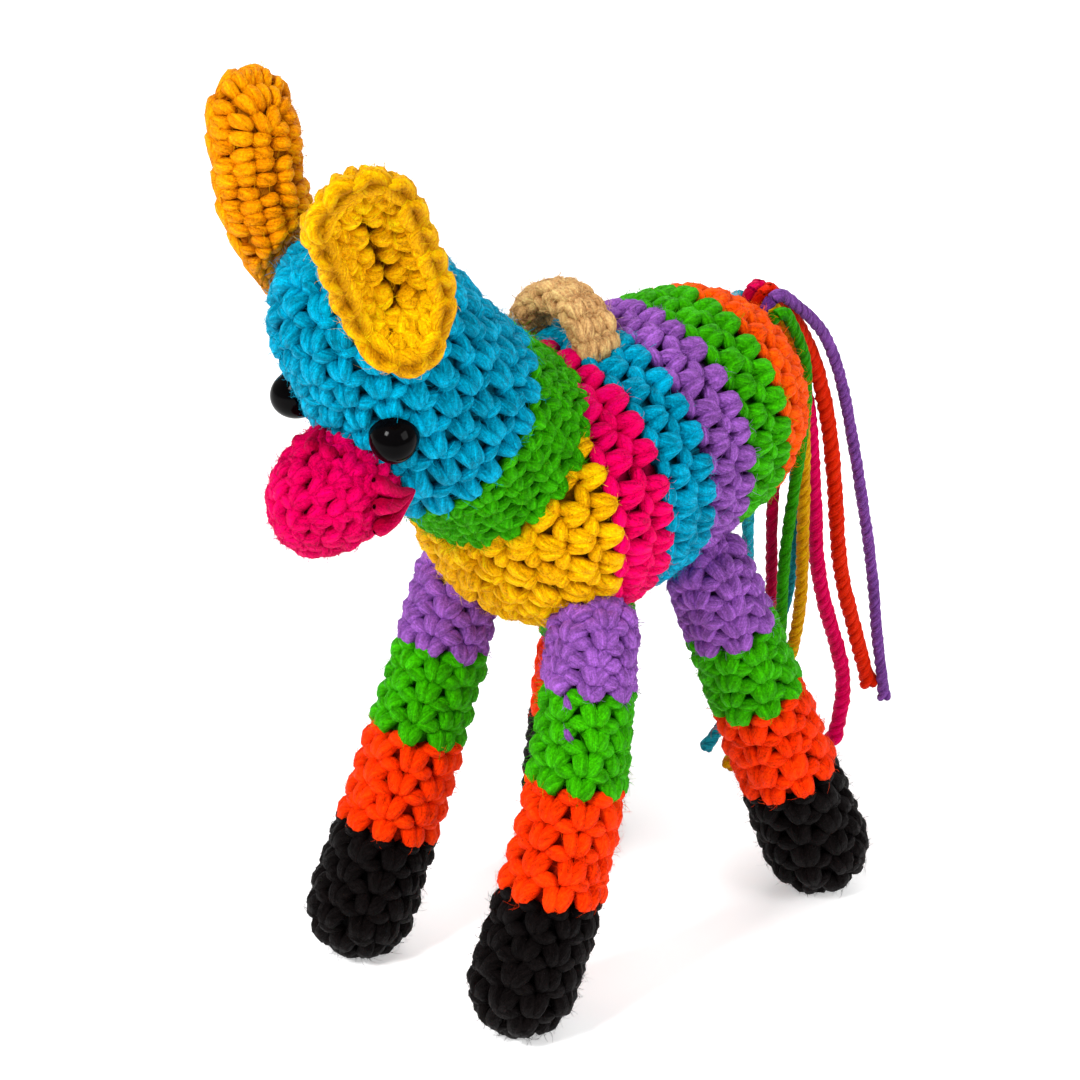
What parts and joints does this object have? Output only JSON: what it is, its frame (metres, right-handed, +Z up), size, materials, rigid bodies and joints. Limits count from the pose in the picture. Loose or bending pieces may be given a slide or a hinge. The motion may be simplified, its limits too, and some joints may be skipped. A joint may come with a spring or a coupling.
{
  "type": "donkey pinata toy",
  "caption": "Crocheted donkey pinata toy with striped body and legs, cupped ears, yarn tail strands, safety eyes and a hanging loop on its back.",
  "frame": {"origin": "on the floor, at the middle of the object's bounding box", "axes": "+Z up, the donkey looks along -Y, its left side is +X"},
  "size_m": [0.0664, 0.1499, 0.1657],
  "materials": {
    "yarn_turquoise": "worsted acrylic yarn, single crochet, fuzzy satin",
    "yarn_green": "worsted acrylic yarn, single crochet, fuzzy satin",
    "yarn_pink": "worsted acrylic yarn, single crochet, fuzzy satin",
    "yarn_yellow": "worsted acrylic yarn, single crochet, fuzzy satin",
    "yarn_purple": "worsted acrylic yarn, single crochet, fuzzy satin",
    "yarn_orange": "worsted acrylic yarn, single crochet, fuzzy satin",
    "yarn_red": "worsted acrylic yarn strand, twisted plies",
    "yarn_black": "worsted acrylic yarn, single crochet, fuzzy",
    "yarn_tan": "worsted acrylic yarn, crocheted strap, fuzzy",
    "fibrefill": "loose polyester fibre",
    "eye_gloss": "polished black safety eye",
    "washer_plastic": "moulded natural plastic"
  },
  "bodies": {
    "torso": {"body_chest_yellow": "yarn_yellow", "body_band_pink": "yarn_pink", "body_band_turquoise": "yarn_turquoise", "body_band_purple": "yarn_purple", "body_band_green": "yarn_green", "body_rump_orange": "yarn_orange", "body_stuffing": "fibrefill", "hanging_loop": "yarn_tan"},
    "head": {"head_cap_turquoise": "yarn_turquoise", "neck_band_green": "yarn_green", "head_stuffing": "fibrefill", "muzzle_pink": "yarn_pink", "muzzle_stuffing": "fibrefill", "eye_left": "eye_gloss", "eye_right": "eye_gloss", "eye_washer_left": "washer_plastic", "eye_washer_right": "washer_plastic"},
    "ear_left": {"ear_left": "yarn_yellow"},
    "ear_right": {"ear_right": "yarn_yellow"},
    "tail": {"tail_knot": "yarn_turquoise", "tail_strand_purple": "yarn_purple", "tail_strand_red": "yarn_red", "tail_strand_pink": "yarn_pink", "tail_strand_yellow": "yarn_yellow", "tail_strand_turquoise": "yarn_turquoise", "tail_strand_green": "yarn_green", "tail_strand_crimson": "yarn_pink", "tail_strand_teal": "yarn_turquoise"},
    "leg_front_left": {"leg_front_left_purple": "yarn_purple", "leg_front_left_green": "yarn_green", "leg_front_left_orange": "yarn_orange", "leg_front_left_hoof": "yarn_black", "leg_front_left_stuffing": "fibrefill"},
    "leg_front_right": {"leg_front_right_purple": "yarn_purple", "leg_front_right_green": "yarn_green", "leg_front_right_orange": "yarn_orange", "leg_front_right_hoof": "yarn_black", "leg_front_right_stuffing": "fibrefill"},
    "leg_rear_left": {"leg_rear_left_purple": "yarn_purple", "leg_rear_left_green": "yarn_green", "leg_rear_left_orange": "yarn_orange", "leg_rear_left_hoof": "yarn_black", "leg_rear_left_stuffing": "fibrefill"},
    "leg_rear_right": {"leg_rear_right_purple": "yarn_purple", "leg_rear_right_green": "yarn_green", "leg_rear_right_orange": "yarn_orange", "leg_rear_right_hoof": "yarn_black", "leg_rear_right_stuffing": "fibrefill"}
  },
  "joints": [
    {"name": "neck_nod", "type": "hinge", "parent": "torso", "child": "head", "pos_m": [0.00325, 0.00335, 0.08808], "axis": [1, 0, 0], "range_deg": [-5, 10]},
    {"name": "ear_left_flop", "type": "hinge", "parent": "head", "child": "ear_left", "pos_m": [0.01865, -0.03872, 0.1275], "axis": [-0.4247, -0.8262, -0.3703], "range_deg": [-25, 0]},
    {"name": "ear_right_flop", "type": "hinge", "parent": "head", "child": "ear_right", "pos_m": [-0.01195, -0.04022, 0.1275], "axis": [0.1857, 0.9826, -0.0022], "range_deg": [-25, 0]},
    {"name": "tail_swing", "type": "hinge", "parent": "torso", "child": "tail", "pos_m": [0.00325, 0.05414, 0.10804], "axis": [1, 0, 0], "range_deg": [0, 35]},
    {"name": "hip_front_left", "type": "hinge", "parent": "torso", "child": "leg_front_left", "pos_m": [0.02075, -0.00372, 0.06832], "axis": [1, 0, 0], "range_deg": [-15, 15]},
    {"name": "hip_front_right", "type": "hinge", "parent": "torso", "child": "leg_front_right", "pos_m": [-0.01275, -0.00272, 0.06693], "axis": [1, 0, 0], "range_deg": [-15, 15]},
    {"name": "hip_rear_left", "type": "hinge", "parent": "torso", "child": "leg_rear_left", "pos_m": [0.01725, 0.02728, 0.06826], "axis": [1, 0, 0], "range_deg": [-15, 15]},
    {"name": "hip_rear_right", "type": "hinge", "parent": "torso", "child": "leg_rear_right", "pos_m": [-0.01075, 0.02728, 0.07085], "axis": [1, 0, 0], "range_deg": [-15, 15]}
  ]
}
